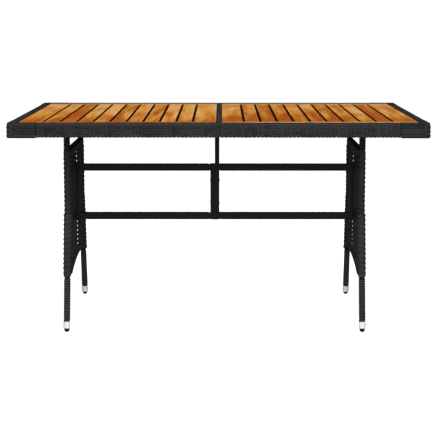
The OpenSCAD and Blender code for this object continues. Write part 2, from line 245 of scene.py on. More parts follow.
def acacia(name, lift, seed, along_x=False, painted_shade=0.0):
    """Planed and oiled acacia; a higher lift gives a paler, more golden board. It is painted paler
    towards the back as a sheen, and dark as shade on its upright faces.
    """
    m = Nodes(name)
    shifted = m.add("ShaderNodeVectorMath", operation="ADD")
    m.link(m.place, shifted, 0)
    shifted.inputs[1].default_value = (seed * 0.37, seed * 0.53, seed * 0.11)

    def stretched(along, across):
        scale = (along, across, across) if along_x else (across, along, across)
        return m.scaled(shifted.outputs[0], scale)

    hue = m.noise(stretched(1.5, 13.0), 1.3, 3.0, 0.5, 0.6)
    streak = m.noise(stretched(1.6, 22.0), 1.6, 6.0, 0.6, 0.5)
    pores = m.noise(stretched(6.0, 160.0), 4.0, 4.0, 0.6)
    value = m.math("ADD", m.spread(hue, 0.34, 0.66, -0.32, 0.32),
                   m.spread(streak, 0.3, 0.7, -0.26, 0.26))
    # Painted sheen: the wood turns paler towards the back
    value = m.math("ADD", value, m.spread(m.split(m.place)["Y"], -LIFT_HALF, LIFT_HALF,
                                          lift - 0.16, lift + 0.36))
    wood = m.ramp(value, [(0.12, WOOD_RED), (0.38, WOOD_ORANGE), (0.62, WOOD_GOLD),
                          (0.92, WOOD_PALE)])
    rings = m.add("ShaderNodeTexWave", wave_type="RINGS", Scale=1.1, Distortion=2.6, Detail=3.0)
    m.link(stretched(1.5, 13.0), rings, "Vector")
    wood = m.mix(m.spread(rings.outputs["Fac"], 0.55, 1.0, 0.0, 0.42), wood, WOOD_RED)
    wood = m.mix(m.spread(streak, 0.60, 0.74, 0.0, 0.55), wood, WOOD_DARK)
    wood = m.mix(m.spread(pores, 0.55, 0.75, 0.0, 0.4), wood, WOOD_DARK)
    # Painted shade: upright faces, such as the slats' sides in the gaps, turn nearly black, with a
    # little dark oil on the sawn edges
    level = m.split(m.add("ShaderNodeNewGeometry").outputs["Normal"])["Z"]
    upright = m.spread(m.math("ABSOLUTE", level), 0.6, 0.96, 1.0, 0.0)
    wood = m.mix(m.math("MULTIPLY", upright, 0.95), wood, OIL_AND_GAP_SHADE)
    # Painted shade: a given share darkens the whole piece, for pieces that lie in shade under the
    # slats
    if painted_shade:
        wood = m.mix(painted_shade, wood, OIL_AND_GAP_SHADE)
    m.link(wood, m.shader, "Base Color")
    m.link(m.spread(pores, 0.3, 0.7, 0.42, 0.58), m.shader, "Roughness")
    m.bump(m.blend(pores, 0.6, streak, 0.4), 0.35, 0.0004)
    m.set(Specular_IOR_Level=0.03)
    return m.material


WICKER = wicker_material("wicker_weave", (0.0090, 0.0095, 0.0101), (0.0400, 0.0415, 0.0440),
                         (0.005, 0.005, 0.006))
# Painted light: the lower legs' winding is the wicker painted much lighter, as lit below the table
# top's shadow, with its strands' edges painted nearly black as shade between them
LIT_WICKER = wicker_material("wicker_painted_lit", (0.050, 0.0515, 0.053), (0.072, 0.0735, 0.076),
                               (0.002, 0.002, 0.0025), 1.0, 1.3)
PLAIT_WICKER = wicker_material("wicker_plait", (0.024, 0.0245, 0.026), (0.046, 0.047, 0.050),
                               (0.003, 0.003, 0.004), 0.9, 2.5)
# Painted shade: the windings of the upper legs and the stretchers are the wicker painted darker, as
# in the shade under the table top
SHADED_WICKER = wicker_material("wicker_painted_dark", (0.010, 0.0103, 0.011), (0.019, 0.0195, 0.0205),
                                (0.005, 0.005, 0.006))
STEEL = simple_material("black_steel", (0.0095, 0.0095, 0.010), 0.58, grain=700.0, depth=0.0001,
                        gloss=0.05)
BRIGHT = simple_material("bright_sleeve", (0.93, 0.93, 0.93), 0.34, metallic=0.1, vary=0.02)
ZINC = simple_material("zinc_steel", (0.62, 0.63, 0.65), 0.35, metallic=0.9, vary=0.06)
RUBBER = simple_material("black_rubber", (0.008, 0.008, 0.008), 0.6, grain=400.0)


def floor_material():
    """Pale floor that looks white in view and gives the object only a dim light from below."""
    m = Nodes("pale_floor")
    m.link(m.ramp(m.noise(m.place, 3.0, 2.0), [(0.3, (0.84, 0.84, 0.84)),
                                               (0.7, (0.86, 0.86, 0.86))]),
           m.shader, "Base Color")
    m.set(Roughness=0.9, Specular_IOR_Level=0.1, Emission_Strength=0.95)
    m.shader.inputs["Emission Color"].default_value = (1.0, 1.0, 1.0, 1.0)
    dim = m.add("ShaderNodeBsdfDiffuse")
    dim.inputs["Color"].default_value = (0.65, 0.65, 0.65, 1.0)
    either = m.add("ShaderNodeMixShader")
    m.link(m.add("ShaderNodeLightPath").outputs["Is Camera Ray"], either, 0)
    m.link(dim.outputs[0], either, 1)
    m.link(m.shader.outputs[0], either, 2)
    m.link(either.outputs[0], m.tree.nodes["Material Output"], "Surface")
    return m.material


# ---- Strands ----

# Cross-section of a flat strand: place across it, place through it, both from -1 to 1
SECTION = np.array([(-1, 0), (-0.72, 0.92), (0.72, 0.92), (1, 0), (0.72, -0.92), (-0.72, -0.92)])
# The same with rounder edges, for the strands that stand out more
ROUND_SECTION = np.array([(-1, -0.1), (-0.78, 0.6), (-0.3, 0.96), (0.3, 0.96), (0.78, 0.6),
                          (1, -0.1), (0.6, -0.9), (-0.6, -0.9)])
# Range of the tone of strands that aren't given one; 0 is the darkest and 1 the lightest
TONES = (0.26, 0.60)


def unit(v):
    return v / np.maximum(np.linalg.norm(v, axis=-1, keepdims=True), 1e-9)


class Weave:
    """Collects the strands of one woven piece."""

    def __init__(self, seed):
        self.verts, self.faces, self.tone, self.across = [], [], [], []
        self.count = 0
        self.random = random.Random(seed)

    def strand(self, path, outward, width, thick, closed=False, tone=None, section=SECTION):
        """Adds a strand along a path; width and tone are one value or one for each point."""
        path = np.asarray(path, float)
        outward = unit(np.asarray(outward, float) * np.ones_like(path))
        if closed:
            tangent = np.roll(path, -1, 0) - np.roll(path, 1, 0)
        else:
            tangent = np.gradient(path, axis=0)
        tangent = unit(tangent)
        side = unit(np.cross(tangent, outward))
        up = np.cross(side, tangent)
        n, k = len(path), len(section)
        reach = np.broadcast_to(width, n)[:, None] * section[:, 0] / 2
        rings = (path[:, None] + side[:, None] * reach[:, :, None]
                 + up[:, None] * (section[:, 1] * thick / 2)[None, :, None])
        start = self.count
        self.verts.append(rings.reshape(-1, 3))
        for i in range(n if closed else n - 1):
            a, b = start + i * k, start + (i + 1) % n * k
            for j in range(k):
                jj = (j + 1) % k
                self.faces.append((a + j, b + j, b + jj, a + jj))
        if not closed:
            self.faces.append(tuple(start + j for j in range(k)))
            self.faces.append(tuple(start + (n - 1) * k + j for j in reversed(range(k))))
        shade = self.random.uniform(*TONES) if tone is None else tone
        self.tone += np.repeat(np.broadcast_to(shade, n), k).tolist()
        self.across += list(section[:, 0]) * n
        self.count += n * k

    def piece(self, name, slot, replaces, material):
        """Makes the mesh; replaces lists the CAD nodes that it stands for."""
        mesh = bpy.data.meshes.new(name)
        verts = np.concatenate(self.verts) * MM
        mesh.from_pydata([tuple(v) for v in verts], [], self.faces)
        for key, values in (("tone", self.tone), ("across", self.across)):
            layer = mesh.attributes.new(key, "FLOAT", "POINT")
            layer.data.foreach_set("value", np.array(values, np.float32))
        mesh.polygons.foreach_set("use_smooth", [True] * len(mesh.polygons))
        mesh.materials.append(material)
        piece = bpy.data.objects.new(name, mesh)
        bpy.context.scene.collection.objects.link(piece)
        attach(piece, "root")
        if replaces:
            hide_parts(*replaces)


def corner_arc(centre, radius, start, end, steps):
    """Points and outward directions of an arc in a plane, angles in degrees."""
    angles = np.radians(np.linspace(start, end, steps))
    outward = np.stack([np.cos(angles), np.sin(angles)], 1)
    return np.asarray(centre) + radius * outward, outward


# ---- Rim ----

WRAP_PITCH = 13.3
WRAP_W = 12.2
WRAP_THICK = 1.4
# The wraps are narrower on the underside, which leaves the lower outline notched
WRAP_UNDER_W = 8.4
# How far the middle of a wrap lies off the tube: outside and on top, inside, and below
WRAP_OFF, WRAP_IN_OFF, WRAP_UNDER_OFF = 1.5, 1.6, 2.4
# Radii of a wrap's bends at the wood and at the outer edges
WRAP_BEND_IN, WRAP_BEND_OUT = 2.5, 4.0
# Random shift of a wrap along the rim, and its slant
WRAP_LEAN, WRAP_SLANT = 0.5, 0.4
# Heights between which a wrap goes down the inside of the rim
LIP_Z = (732.0, 738.0)
ROW_W = 9.4
ROW_THICK = 1.2
# How far the middle of a row lies off the tube where it passes over or under a wrap
ROW_OVER, ROW_UNDER = 1.9, 0.7
# Extra height of a row in the middle of a wrap that it passes over
ROW_CROWN = 0.15
# A row stops this far from the ends of its side
ROW_END_GAP = 0.6
# Half the length over which a strand stays level on what it passes
CREST_HALF = 3.6
# Rows along the outer face, as depths of their middles under the rim's top
FACE_ROWS = [5.4, 14.8, 24.2, 33.6, 42.6]
# Rows on top and below, as distances from a line that lies this far in from the tube's inner face
ROWS_FROM = 3.0
TOP_ROWS = [6.6, 15.4, 24.0]
UNDER_ROWS = [10.0, 19.5]
TOP_ROW_TONE = 0.66
# Each row is broken this far on each side of its middle
SEAM_HALF = 1.2


def rim_turn(quarter):
    """Turns a band that is drawn for the back of the table to the side it belongs to."""
    angle = math.radians(90 * quarter)
    c, s = math.cos(angle), math.sin(angle)
    return np.array([[c, -s, 0], [s, c, 0], [0, 0, 1]])


def wrap_profile(half):
    """Path of one wrap in the plane (outward, Z): lip, top, outer face and underside."""
    inner = half - TUBE_IN - WRAP_IN_OFF
    outer = half - TUBE_OUT + WRAP_OFF
    top = TUBE_Z[1] + WRAP_OFF
    low = TUBE_Z[0] - WRAP_UNDER_OFF
    points = [np.array([(inner, z) for z in LIP_Z])]
    ways = [np.array([(-1.0, 0.0), (-1.0, 0.0)])]
    bend_in, bend_out = WRAP_BEND_IN, WRAP_BEND_OUT
    for centre, radius, start, end in (((inner + bend_in, top - bend_in), bend_in, 180, 90),
                                       ((outer - bend_out, top - bend_out), bend_out, 90, 0),
                                       ((outer - bend_out, low + bend_out), bend_out, 0, -90)):
        p, o = corner_arc(centre, radius, start, end, 5)
        points.append(p)
        ways.append(o)
    points.append(np.array([(half - TUBE_IN + 1.0, low)]))
    ways.append(np.array([(0.0, -1.0)]))
    return np.concatenate(points), np.concatenate(ways)


def passes_over(row, wrap):
    """True where a row passes over a wrap; the first two rows lie over nearly all of them."""
    if row == 0:
        return True
    if row == 1:
        return wrap % 4 != 1
    if wrap % 4 == 0:
        return False
    if wrap % 4 == 2:
        return (wrap // 4 + row) % 2 == 0
    return (row + wrap // 2) % 5 != 0


def row_heights(row, places, pitch):
    """Places along a row and how far off the tube it lies there."""
    count = len(places)
    us, offs = [], []
    for i, u in enumerate(places):
        over = passes_over(row, i)
        off = ROW_OVER if over else ROW_UNDER
        after = passes_over(row, i + 1) if i + 1 < count else over
        us += [u - CREST_HALF, u, u + CREST_HALF, u + pitch / 2]
        offs += [off, off + (ROW_CROWN if over else 0), off,
                 (off + (ROW_OVER if after else ROW_UNDER)) / 2]
    us[-1] -= ROW_END_GAP
    return np.array([places[0] - pitch / 2 + ROW_END_GAP] + us), np.array([offs[0]] + offs)


def rim_band(name, quarter, half, half_run, node, seed):
    """Wraps round one side of the rim, and the rows that pass over and under them."""
    weave = Weave(seed)
    turn = rim_turn(quarter)
    profile, ways = wrap_profile(half)
    count = round(2 * half_run / WRAP_PITCH)
    pitch = 2 * half_run / count
    places = [-half_run + pitch * (i + 0.5) for i in range(count)]
    for u in places:
        lean = weave.random.uniform(-WRAP_LEAN, WRAP_LEAN)
        path = np.stack([np.full(len(profile), u + lean), profile[:, 0], profile[:, 1]], 1)
        slant = np.linspace(-WRAP_SLANT, WRAP_SLANT, len(path))
        path[:, 0] += slant * weave.random.uniform(-1, 1)
        out = np.stack([np.zeros(len(ways)), ways[:, 0], ways[:, 1]], 1)
        widths = np.where(path[:, 2] < TUBE_Z[0] + 1.0, WRAP_UNDER_W, WRAP_W)
        weave.strand(path @ turn.T, out @ turn.T, widths, WRAP_THICK)
    # Each row: its place in the plane (outward, Z), its outward direction and its number
    inside = half - TUBE_IN - ROWS_FROM
    rows = [((half - TUBE_OUT, TOP_Z - d), (1.0, 0.0), k) for k, d in enumerate(FACE_ROWS)]
    rows += [((inside + d, TUBE_Z[1]), (0.0, 1.0), 3 + k) for k, d in enumerate(TOP_ROWS)]
    rows += [((inside + d, TUBE_Z[0]), (0.0, -1.0), 2 + k) for k, d in enumerate(UNDER_ROWS)]
    for (p, z), (wp, wz), row in rows:
        us, offs = row_heights(row, places, pitch)
        path = np.stack([us, p + wp * offs, z + wz * offs], 1)
        out = np.tile([0.0, wp, wz], (len(us), 1))
        tone = TOP_ROW_TONE if row == 0 else None
        for part in (us < -SEAM_HALF, us > SEAM_HALF):
            weave.strand(path[part] @ turn.T, out[part] @ turn.T, ROW_W, ROW_THICK, tone=tone)
    weave.piece(name, "wicker", [node], WICKER)


rim_band("weave_rim_back", 0, HALF_DEPTH, BAND_HALF, "rim_wicker_back", 11)
rim_band("weave_rim_front", 2, HALF_DEPTH, BAND_HALF, "rim_wicker_front", 12)
rim_band("weave_rim_left", 1, HALF_LEN, SIDE_HALF, "rim_wicker_left", 13)
rim_band("weave_rim_right", 3, HALF_LEN, SIDE_HALF, "rim_wicker_right", 14)

# ---- Corners ----

CORNER_R = 10.0
CORNER_SIGNS = [(1, 1), (-1, 1), (-1, -1), (1, -1)]
# Places where a corner starts and ends along the rim
RUN_X, RUN_Y = BAND_HALF + 1.2, SIDE_HALF + 1.2
# Rows on the outer faces, and rows on top and below: inset, width and thickness
FACE_INSET, FACE_W, FACE_THICK = 0.65, 9.55, 0.8
FLAT_INSET, FLAT_W, FLAT_THICK = 0.75, 8.8, 1.3
# Distances of the rows on top and below from the outer faces
CORNER_TOP_ROWS = (4.6, 13.6, 22.6)
CORNER_UNDER_ROWS = (5.0, 14.0, 23.0)
# Stakes under the rows: inset, width, thickness, and the height of their middle point
POLE_INSET, POLE_W, POLE_THICK, POLE_MID_Z = 2.6, 9.4, 1.6, 725.0
# How far the stakes go on each side of the corner, and from one to the next
POLE_RUN, POLE_PITCH = 84.0, 12.0
# Lip that hides the edge of the wood: inset and height of its middle, height and thickness
LIP_INSET, LIP_MID_Z, LIP_W, LIP_THICK = 28.6, 740.0, 17.0, 1.4
# Plait: inset, strands, and their width and thickness
PLAIT_INSET, PLAIT_STRANDS, PLAIT_W, PLAIT_THICK = -0.2, 3, 9.4, 2.2
# How far a strand of the plait swings aside and stands out, and the height of one full swing
PLAIT_REACH, PLAIT_RISE, PLAIT_PERIOD = 14.5, 0.9, 42.0


def corner_path(inset, steps=9):
    """Outline of the back right corner in plan at a distance inside the outer faces."""
    r = max(CORNER_R - inset, 1.5)
    cx, cy = HALF_LEN - inset - r, HALF_DEPTH - inset - r
    arc, out = corner_arc((cx, cy), r, 90, 0, steps)
    xs = np.linspace(RUN_X, cx, 8)[:-1]
    ys = np.linspace(cy, RUN_Y, 8)[1:]
    points = np.concatenate([np.stack([xs, np.full(7, HALF_DEPTH - inset)], 1), arc,
                             np.stack([np.full(7, HALF_LEN - inset), ys], 1)])
    outs = np.concatenate([np.tile([0.0, 1.0], (7, 1)), out, np.tile([1.0, 0.0], (7, 1))])
    return points, outs


def along(points, outs, s):
    """Point and outward direction at the length s from the middle of a plan outline."""
    steps = np.linalg.norm(np.diff(points, axis=0), axis=1)
    length = np.concatenate([[0], np.cumsum(steps)])
    t = np.clip(s + length[-1] / 2, 0, length[-1])
    point = np.stack([np.interp(t, length, points[:, k]) for k in range(2)], -1)
    out = unit(np.stack([np.interp(t, length, outs[:, k]) for k in range(2)], -1))
    return point, out


def corner_weave(weave, plait, sx, sy):
    """Strands of one corner, drawn for the back right and flipped into place."""
    flip = np.array([sx, sy, 1.0])

    def lay(path, out, width, thick, into=weave, section=SECTION):
        path, out = path * flip, out * flip
        if sx * sy < 0:
            path, out = path[::-1], out[::-1]
        into.strand(path, out, width, thick, section=section)

    points, outs = corner_path(FACE_INSET)
    for k, depth in enumerate(FACE_ROWS):
        # The first and the last row are moved a little towards the rim's edges
        z = TOP_Z - depth + (0.3 if k == 0 else 0.0) - (0.4 if k == 4 else 0.0)
        path = np.column_stack([points, np.full(len(points), z)])
        lay(path, np.column_stack([outs, np.zeros(len(outs))]), FACE_W, FACE_THICK)
    for insets, z, way in ((CORNER_TOP_ROWS, TOP_Z - FLAT_INSET, 1.0),
                           (CORNER_UNDER_ROWS, UNDER_Z + FLAT_INSET, -1.0)):
        for inset in insets:
            points, outs = corner_path(inset, 5)
            path = np.column_stack([points, np.full(len(points), z)])
            lay(path, np.tile([0.0, 0.0, way], (len(points), 1)), FLAT_W, FLAT_THICK)
    # Stakes under the rows
    points, outs = corner_path(POLE_INSET)
    zs = np.array([UNDER_Z + 1.6, UNDER_Z + 4, POLE_MID_Z, TOP_Z - 4, TOP_Z - 1.6])
    pull = np.array([1.6, 0.0, 0.0, 0.0, 1.6])
    for s in np.arange(-POLE_RUN, POLE_RUN + 0.1, POLE_PITCH):
        p, o = along(points, outs, s)
        path = np.column_stack([p[0] - o[0] * pull, p[1] - o[1] * pull, zs])
        lay(path, np.tile([o[0], o[1], 0.0], (5, 1)), POLE_W, POLE_THICK)
    # Inner lip that hides the edge of the wood
    lip_x, lip_y = HALF_LEN - LIP_INSET, HALF_DEPTH - LIP_INSET
    points = np.array([(RUN_X, lip_y), (lip_x, lip_y), (lip_x, RUN_Y)])
    lip = np.column_stack([points, np.full(3, LIP_MID_Z)])
    lip = np.concatenate([np.linspace(lip[0], lip[1], 4), np.linspace(lip[1], lip[2], 4)[1:]])
    lip_out = np.array([[0, -1, 0]] * 3 + [[-0.7, -0.7, 0]] + [[-1, 0, 0]] * 3, float)
    lay(lip, lip_out, LIP_W, LIP_THICK)
    # Plait that runs down the corner
    points, outs = corner_path(PLAIT_INSET, 13)
    zs = np.linspace(UNDER_Z + 4.0, TOP_Z - 5.0, 34)
    for k in range(PLAIT_STRANDS):
        t = (zs / PLAIT_PERIOD + k / PLAIT_STRANDS) % 1.0
        swing = 4 * np.abs(t - 0.5) - 1
        way = np.where(t < 0.5, -1.0, 1.0)
        s = PLAIT_REACH * np.sin(swing * math.pi / 2 * 0.96)
        rise = way * np.cos(2 * math.pi * PLAIT_STRANDS * t) * PLAIT_RISE
        p, o = along(points, outs, s)
        path = np.column_stack([p + o * rise[:, None], zs])
        lay(path, np.column_stack([o, np.zeros(len(o))]), PLAIT_W, PLAIT_THICK, plait,
            ROUND_SECTION)


corners = Weave(15)
plaits = Weave(16)
for sign_x, sign_y in CORNER_SIGNS:
    corner_weave(corners, plaits, sign_x, sign_y)
corners.piece("weave_corners", "wicker", ["corner_wicker"], WICKER)
plaits.piece("weave_corner_plaits", "wicker", [], PLAIT_WICKER)

# ---- Windings ----

# Pitch and width of the strand round legs and arched rails, and its thickness on each
WIND_PITCH, WIND_W = 8.4, 8.1
LEG_THICK, BORDER_THICK = 2.6, 2.0
# Pitch, width and thickness of the strand round the stretchers and round the centre strip
STRETCH_WIND = (8.3, 7.7, 1.8)
STRIP_WIND = (8.6, 8.2, 1.3)


def rounded_square(half_w, half_h, radius, steps=4):
    """Closed outline with its outward directions, in a plane."""
    points, ways = [], []
    for cx, cy, start in ((1, 1, 0), (-1, 1, 90), (-1, -1, 180), (1, -1, 270)):
        p, o = corner_arc((cx * (half_w - radius), cy * (half_h - radius)), radius,
                          start, start + 90, steps)
        points.append(p)
        ways.append(o)
    return np.concatenate(points), np.concatenate(ways)


def round_outline(radius, steps=14):
    """Closed round outline with its outward directions, in a plane."""
    angles = np.linspace(0, 2 * math.pi, steps, endpoint=False)
    ways = np.stack([np.cos(angles), np.sin(angles)], 1)
    return ways * radius, ways


def wind(weave, outline, place, length, pitch, width, thick):
    """Winds a strand round an outline; place maps (plan x, plan y, distance) to the world."""
    points, ways = outline
    closed = np.concatenate([points, points[:1]])
    run = np.concatenate([[0], np.cumsum(np.linalg.norm(np.diff(closed, axis=0), axis=1))])
    run /= run[-1]
    turns = int((length - width) / pitch)
    path, out = [], []
    for turn in range(turns):
        for (x, y), (wx, wy), f in zip(points, ways, run[:-1]):
            s = width / 2 + (turn + f) * (length - width) / turns
            path.append(place(x, y, s))
            out.append(np.asarray(place(x + wx, y + wy, s)) - np.asarray(path[-1]))
    weave.strand(path, out, width, thick, section=ROUND_SECTION)


def wind_stretcher(weave, outline, low, high, height):
    """Winds a stretcher between two places along X."""
    def place(y, z, s):
        return (low + s, y, height + z)

    wind(weave, outline, place, high - low, *STRETCH_WIND)


stretchers = Weave(21)
stretch_low, stretch_high = node_box("stretcher_windings")
STRETCH_HALF = stretch_high[1]
stretch_outline = rounded_square(STRETCH_HALF - 0.9, STRETCH_HALF - 0.9, 2.8)
right_post_x = node_box("centre_post_right")[1][0]
for run_start, run_end in ((stretch_low[0], post_low[0]), (right_post_x, stretch_high[0])):
    for axis_z in (stretch_high[2] - STRETCH_HALF, stretch_low[2] + STRETCH_HALF):
        wind_stretcher(stretchers, stretch_outline, run_start, run_end, axis_z)
stretchers.piece("winding_stretchers", "wicker", ["stretcher_windings"], SHADED_WICKER)

# ---- Legs ----

DOME_R = 9.5
LEG_Y, FOOT_Y, BEND_Z = 187.0, 260.0, 430.0
SPLAY = math.atan((FOOT_Y - LEG_Y) / (BEND_Z - DOME_R))
SLEEVE_TOP, PANEL_LOW = 36.0, 189.0


def leg_axis(z):
    """Distance of a leg's axis from the middle of the depth at a height."""
    return LEG_Y + max(0.0, BEND_Z - z) * math.tan(SPLAY)


def wind_leg(lower, upper, x, side):
    """Winds a leg from its sleeve to the woven panel, and from the panel to the rim."""
    outline = round_outline(WINDING_R - 1.2)

    def below(a, b, s):
        up = (SLEEVE_TOP - DOME_R) / math.cos(SPLAY) + s
        y = FOOT_Y - up * math.sin(SPLAY) + b * math.cos(SPLAY)
        z = DOME_R + up * math.cos(SPLAY) + b * math.sin(SPLAY)
        return (x + side * a, side * y, z)

    def above(a, b, s):
        return (x + side * a, side * (LEG_Y + b), PANEL_TOP + s)

    wind(lower, outline, below, (PANEL_LOW - SLEEVE_TOP) / math.cos(SPLAY),
         WIND_PITCH, WIND_W, LEG_THICK)
    wind(upper, outline, above, TUBE_Z[0] - PANEL_TOP - 1.0, WIND_PITCH, WIND_W, LEG_THICK)


lower_legs = Weave(22)
upper_legs = Weave(24)
for end_x in END_XS:
    for leg_side in (-1, 1):
        wind_leg(lower_legs, upper_legs, end_x, leg_side)
lower_legs.piece("winding_legs", "wicker", ["leg_windings"], LIT_WICKER)
upper_legs.piece("winding_legs_upper", "wicker", [], SHADED_WICKER)

# ---- Centre strip ----


def on_strip(x, z, s):
    """Place on the centre strip at the length s from the back."""
    return ((strip_low[0] + strip_high[0]) / 2 + x, strip_high[1] - s, strip_high[2] - 9.6 + z)


strip = Weave(23)
half_strip = (strip_high[0] - strip_low[0]) / 2 - 0.9
wind(strip, rounded_square(half_strip, 8.9, 2.4, 3), on_strip, strip_high[1] - strip_low[1],
     *STRIP_WIND)
strip.piece("winding_centre_strip", "wicker", ["centre_wicker"], WICKER)

# ---- Woven end frames ----

ROW_PITCH = 8.3
FIRST_ROW = TOP_RAIL_Z - ROW_PITCH / 2
# Rows above the first one and below it
ROWS_ABOVE, ROWS = 3, 51
HOOP_W, HOOP_THICK = 8.6, 1.7
# How far a row lies off the panel's middle where it passes over or under a stake
HOOP_OVER, HOOP_UNDER = 3.0, 1.6
# Half the distance between a row's two faces where it turns back in the panel's middle
TURN_HALF = 0.9
# Distances from the leg's axis: where a row leaves the stakes, where a row is left out of the
# panel, and where a row counts as turning round the leg
FACE_END, ALONE_WITHIN, TURNED_WITHIN = 15.0, 14.0, 8.0
STAKE_W, STAKE_THICK, STAKE_OFF = 7.2, 1.1, 2.1
# Each stake's distance from the middle, and how far it stands out of the panel; the outer ones
# swell towards the leg
STAKES = [(31.0, -0.1), (52.5, 0.0), (74.0, 0.0), (95.5, 0.0), (117.2, 0.0), (140.5, 1.0),
          (164.0, 4.2), (186.0, 4.2)]
STAKE_STEPS = 30
# A stake needs this much room beside the leg
STAKE_ROOM = 18.0
PANEL_INSET = 8.5
# Open places in the middle of the panel: half their width, and how many in each slot
SLOT_HALF = 25.0
UPPER_OPENINGS, LOWER_OPENINGS = 3, 6
# Radius of the rows round a leg, and how much further out every other one lies
RING_R, RING_BULGE = 10.7, 1.6
# Flat strip beside each leg and the filler in the weave: depth, distance from the leg, width
BESIDE_LEG = ((RING_R - 0.9, 15.0, 17.0), (PANEL_INSET, 37.0, 54.0))
# Below this height the wicker stands further off the legs, and round the legs it is painted
# lighter, as lit below the table top's shadow
STEP_Z = 408.0
STEP_OUT = 2.0
# Tones of a hoop, painted light and shade: lit round a leg below the step, shaded round it above
# the step, and darkest on the panel's faces
LOWER_LEG_PAINTED_LIGHT, UPPER_LEG_PAINTED_SHADE, FACE_PAINTED_SHADE = 0.85, 0.49, 0.05
ARCH_Z, ARCH_RISE = 198.0, 37.0
ARCH_Y = leg_axis(ARCH_Z)
ARCH_R = (ARCH_Y ** 2 + ARCH_RISE ** 2) / (2 * ARCH_RISE)
BORDER_R = 9.0
# A row or a stake keeps this far from the arched rail's axis
ARCH_ROOM, STAKE_ARCH_ROOM = 3.5, 3.0


def arch_at(y):
    """Height of the arched rail's axis."""
    return ARCH_Z + ARCH_RISE - ARCH_R + math.sqrt(max(ARCH_R ** 2 - y * y, 0.0))


def in_slots(z):
    """True at the heights where the middle of the panel is open."""
    return (post_high[2] < z < TOP_RAIL_Z
            or ARCH_Z + ARCH_RISE + BORDER_R < z < post_low[2])


def step_out(z):
    """How much further off the legs the wicker stands at a height."""
    return STEP_OUT if z < STEP_Z else 0.0


def face_points(row, z, inner):
    """Places and depths of a row on one face of the panel, from its inner end to the leg."""
    points = []
    for k, (stake, swell) in enumerate(STAKES):
        if inner + 2 < stake < leg_axis(z) - FACE_END:
            depth = swell + (HOOP_OVER if (row + k) % 2 == 0 else HOOP_UNDER)
            points += [(stake - CREST_HALF, depth), (stake, depth), (stake + CREST_HALF, depth)]
    return points


def leg_loop(row, z, inner):
    """Closed path of one row round a back leg in plan, as (Y, distance inward from its axis)."""
    axis = leg_axis(z)
    stretch = 1 / math.cos(SPLAY) if z < BEND_Z else 1.0
    across_slot = inner == 0.0 and in_slots(z)
    plan = [(inner + 0.2, PANEL_INSET + TURN_HALF)]
    if across_slot:
        plan.append((SLOT_HALF - 1.0, PANEL_INSET + 0.8))
    plan += [(y, PANEL_INSET + depth) for y, depth in face_points(row, z, inner)]
    radius = RING_R + ((RING_BULGE if row % 2 == 0 else 0.0) + step_out(z))
    for angle in np.radians(np.linspace(78, -135, 16)):
        plan.append((axis + radius * math.cos(angle) * stretch, radius * math.sin(angle)))
    plan += [(y, PANEL_INSET - depth) for y, depth in reversed(face_points(row + 1, z, inner))]
    if across_slot:
        plan.append((SLOT_HALF - 1.0, PANEL_INSET - 0.8))
    plan.append((inner + 0.2, PANEL_INSET - TURN_HALF))
    return plan


def outward_of(path):
    """Outward directions of a closed plan path that runs either way round."""
    path = np.asarray(path)
    tangent = np.roll(path, -1, 0) - np.roll(path, 1, 0)
    out = np.stack([tangent[:, 1], -tangent[:, 0], np.zeros(len(path))], 1)
    area = np.sum(path[:, 0] * np.roll(path[:, 1], -1) - np.roll(path[:, 0], -1) * path[:, 1])
    return unit(out) * (1 if area > 0 else -1)


def stake_top(stake):
    """A stake that the leg would cross ends below it, the others end at the top rail."""
    past_leg = stake + STAKE_ROOM - LEG_Y
    if past_leg > 0:
        return min(TOP_RAIL_Z - 0.5, BEND_Z - past_leg / math.tan(SPLAY))
    return TOP_RAIL_Z - 0.5


